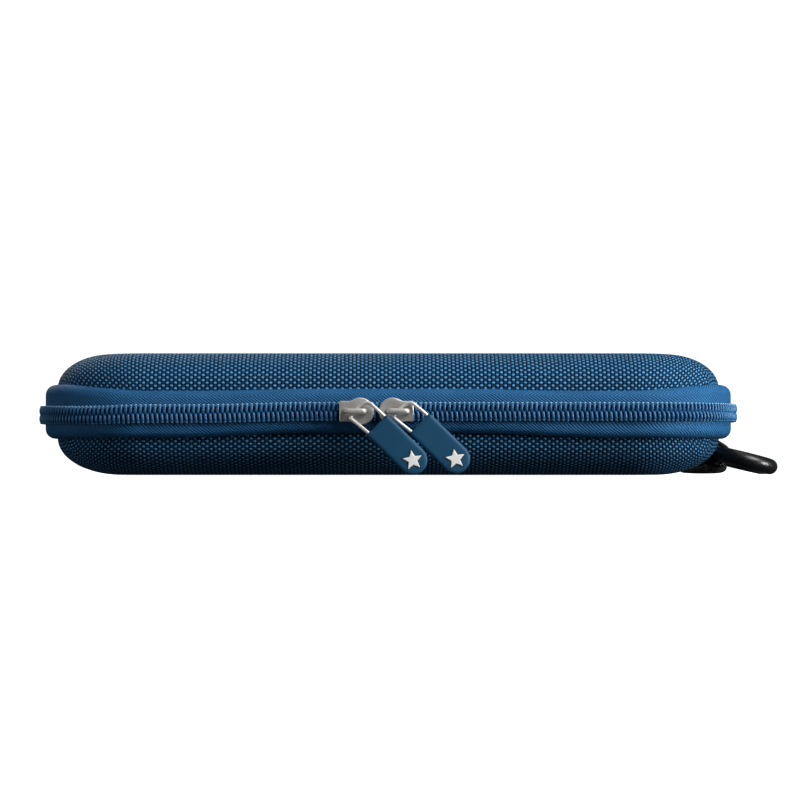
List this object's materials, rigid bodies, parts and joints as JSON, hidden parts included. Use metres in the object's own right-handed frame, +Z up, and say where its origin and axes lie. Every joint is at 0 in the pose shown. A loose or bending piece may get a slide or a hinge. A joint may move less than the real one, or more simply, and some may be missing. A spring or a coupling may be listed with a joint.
{
  "type": "zip carry case",
  "caption": "Slim moulded clamshell case in woven fabric, with a coil zip, two sliders with soft pulls, a fabric hinge and a clip-on carabiner.",
  "frame": {"origin": "middle of the flat face that the case rests on, midway along and across the moulded shell", "axes": "+X along the case towards the carabiner's end, -Y to the front with the sliders, +Z up"},
  "size_m": [0.2414, 0.1128, 0.039],
  "materials": {
    "outer_weave": "coarse basket weave, satin yarns",
    "zip_tape": "herringbone tape",
    "zip_coil": "nylon monofilament",
    "foam": "matt closed-cell foam",
    "lining": "brushed short nap",
    "binding": "ribbed grosgrain",
    "slider_metal": "satin nickel",
    "pull_wire": "bright nickel wire",
    "pull_rubber": "soft moulded tab",
    "pull_mark": "white moulded inlay",
    "webbing": "ribbed black webbing",
    "carabiner_coat": "gloss black coat on metal",
    "steel_small": "plain steel",
    "mesh": "open knitted mesh",
    "elastic": "ribbed elastic"
  },
  "bodies": {
    "base": {"lower_shell": "foam", "lower_fabric": "outer_weave", "lower_lining": "lining", "lower_binding": "binding", "lower_tape": "zip_tape", "lower_coil": "zip_coil", "lower_zip_stops": "zip_tape", "hinge_strip": "outer_weave", "web_loop": "webbing", "strap_left": "elastic", "strap_right": "elastic"},
    "lid": {"upper_shell": "foam", "upper_fabric": "outer_weave", "upper_lining": "lining", "upper_binding": "binding", "upper_tape": "zip_tape", "upper_coil": "zip_coil", "upper_zip_stops": "zip_tape", "mesh_pocket": "mesh", "pocket_elastic": "elastic"},
    "left_slider": {"slider_left": "slider_metal"},
    "right_slider": {"slider_right": "slider_metal"},
    "left_pull": {"pull_wire_left": "pull_wire", "pull_tab_left": "pull_rubber", "pull_star_left": "pull_mark"},
    "right_pull": {"pull_wire_right": "pull_wire", "pull_tab_right": "pull_rubber", "pull_star_right": "pull_mark"},
    "carabiner": {"carabiner_body": "carabiner_coat", "gate_pin": "steel_small"},
    "gate": {"carabiner_gate": "carabiner_coat", "gate_spring": "steel_small"}
  },
  "joints": [
    {"name": "lid_hinge", "type": "hinge", "parent": "base", "child": "lid", "pos_m": [0, 0.0524, 0.02], "axis": [-1, 0, 0], "range_deg": [0, 180], "deforming": ["hinge_strip"]},
    {"name": "left_slider_run", "type": "slide", "parent": "base", "child": "left_slider", "axis": [-1, 0, 0], "range_m": [0, 0.06]},
    {"name": "right_slider_run", "type": "slide", "parent": "base", "child": "right_slider", "axis": [1, 0, 0], "range_m": [0, 0.068]},
    {"name": "left_pull_lift", "type": "hinge", "parent": "left_slider", "child": "left_pull", "pos_m": [-0.0102, -0.05665, 0.02], "axis": [-0.7009, 0, -0.7133], "range_deg": [0, 80]},
    {"name": "right_pull_lift", "type": "hinge", "parent": "right_slider", "child": "right_pull", "pos_m": [0.0031, -0.05665, 0.02], "axis": [-0.7009, 0, -0.7133], "range_deg": [0, 80]},
    {"name": "carabiner_swing", "type": "hinge", "parent": "base", "child": "carabiner", "pos_m": [0.1098, 0.012, 0.0067], "axis": [0, -1, 0], "range_deg": [0, 64]},
    {"name": "gate_open", "type": "hinge", "parent": "carabiner", "child": "gate", "pos_m": [0.1259, 0.0045, 0.00265], "axis": [0.244, 0, 0.9698], "range_deg": [0, 20], "stiffness_Nm_per_rad": 0.05, "springref_deg": -5.73}
  ]
}
